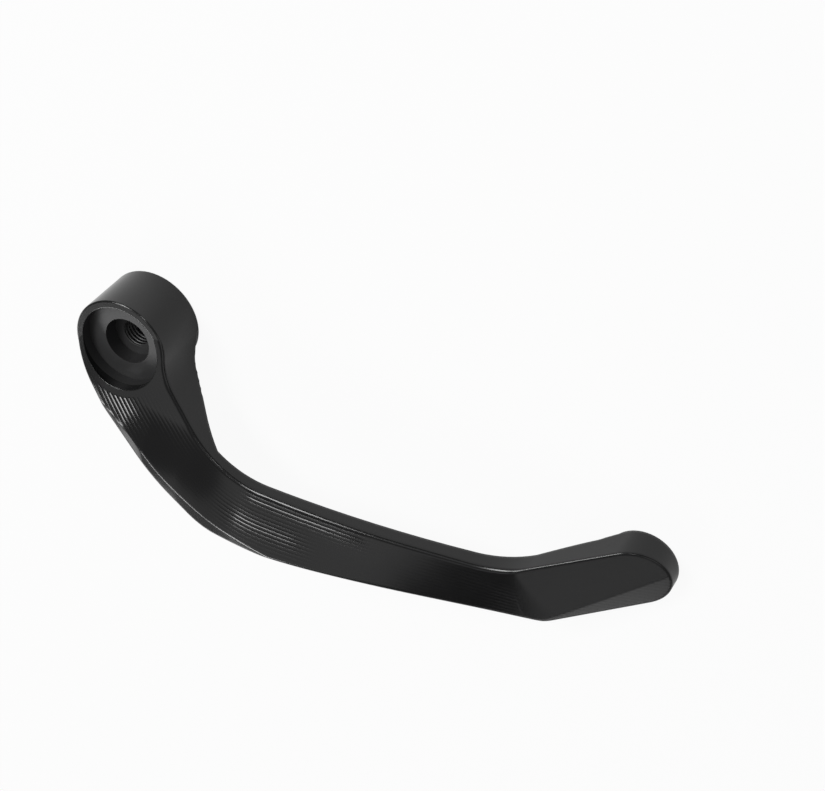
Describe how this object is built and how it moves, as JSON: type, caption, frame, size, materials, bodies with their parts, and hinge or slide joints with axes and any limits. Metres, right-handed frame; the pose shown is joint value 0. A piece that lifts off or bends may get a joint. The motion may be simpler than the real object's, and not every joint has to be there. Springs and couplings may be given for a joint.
{
  "type": "brake lever guard",
  "caption": "Arched, pocketed arm in black anodised aluminium that bolts to a handlebar end by a round boss and reaches round the brake lever's tip.",
  "frame": {"origin": "on the bar-end bolt axis, in the plane of the boss face that meets the bar end", "axes": "+Z along the bolt axis, outboard, away from the bar end; +X from the bolt axis to the tip hole; the arm bulges to -Y"},
  "size_m": [0.184, 0.0616, 0.025],
  "materials": {
    "guard": "satin black anodised, milled"
  },
  "bodies": {
    "root": {"lever_guard": "guard"}
  },
  "joints": []
}
